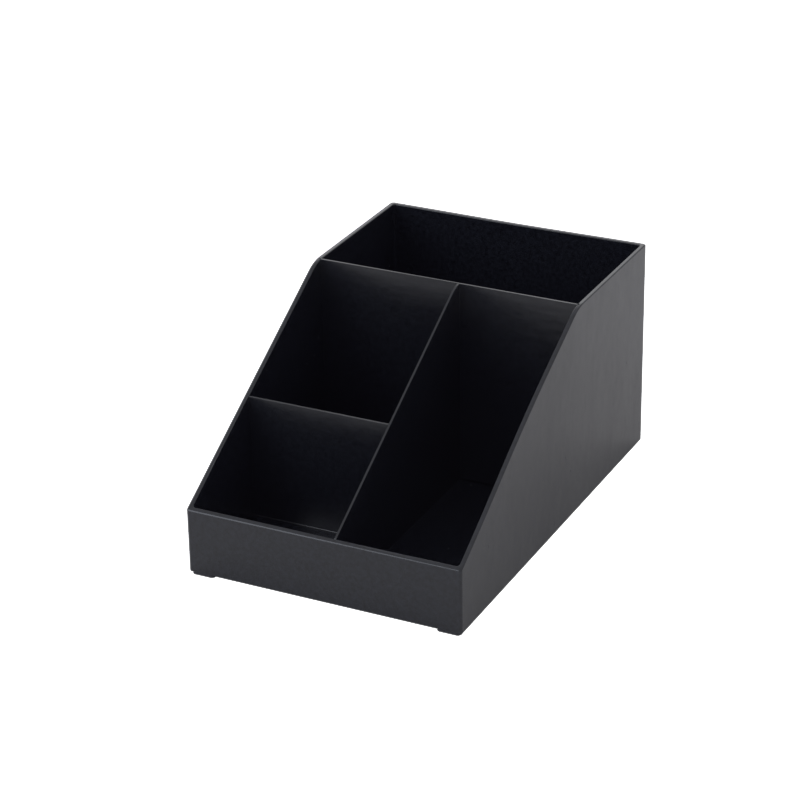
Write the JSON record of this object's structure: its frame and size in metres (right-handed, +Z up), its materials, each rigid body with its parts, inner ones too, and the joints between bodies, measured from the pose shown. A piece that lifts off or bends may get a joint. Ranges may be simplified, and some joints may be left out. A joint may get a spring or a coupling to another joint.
{
  "type": "desk organiser",
  "caption": "Open-topped desk organiser with a low front, sloping side walls, dividers that part it into compartments, and flat pads under its corners.",
  "frame": {"origin": "on the surface that the pads stand on, under the middle of the case", "axes": "+X to the right seen from the front, +Y towards the tall back, +Z up"},
  "size_m": [0.15, 0.232, 0.116],
  "materials": {
    "case": "fine-grained satin charcoal",
    "dividers": "fine-grained satin charcoal",
    "pads": "matt charcoal"
  },
  "bodies": {
    "root": {"case": "case", "cross_divider": "dividers", "long_divider": "dividers", "short_divider": "dividers", "front_left_pad": "pads", "front_right_pad": "pads", "back_left_pad": "pads", "back_right_pad": "pads"}
  },
  "joints": []
}
